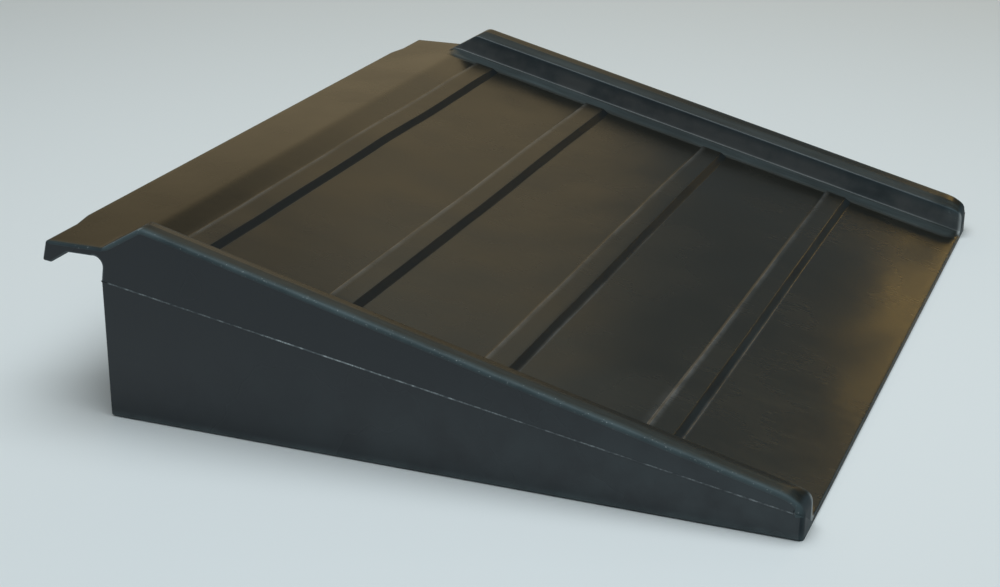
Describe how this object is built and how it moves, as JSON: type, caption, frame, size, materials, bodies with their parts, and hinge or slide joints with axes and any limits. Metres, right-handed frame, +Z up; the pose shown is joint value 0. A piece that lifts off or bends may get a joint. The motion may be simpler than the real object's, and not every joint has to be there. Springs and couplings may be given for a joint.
{
  "type": "loading ramp",
  "caption": "Hollow moulded plastic loading ramp with side kerbs, raised cross bars and a full-width hook lip that drops over a low pallet's rim.",
  "frame": {"origin": "on the floor under the middle of the object's bounding box", "axes": "+Z up, +X runs down the ramp towards its toe, +Y runs across the ramp"},
  "size_m": [1.09, 1.2824, 0.2869],
  "materials": {
    "black_polyethylene": "satin moulded surface with fine scuffs",
    "trimmed_flash": "knife-trimmed edge, whitened in places",
    "plug_plastic": "smooth moulded"
  },
  "bodies": {
    "root": {"upper_shell": "black_polyethylene", "lower_shell": "black_polyethylene", "support_posts_row_1": "black_polyethylene", "support_posts_row_2": "black_polyethylene", "support_posts_row_3": "black_polyethylene", "support_posts_row_4": "black_polyethylene", "seam_flash_left": "trimmed_flash", "seam_flash_right": "trimmed_flash", "seam_flash_back": "trimmed_flash", "vent_plug": "plug_plastic"}
  },
  "joints": []
}
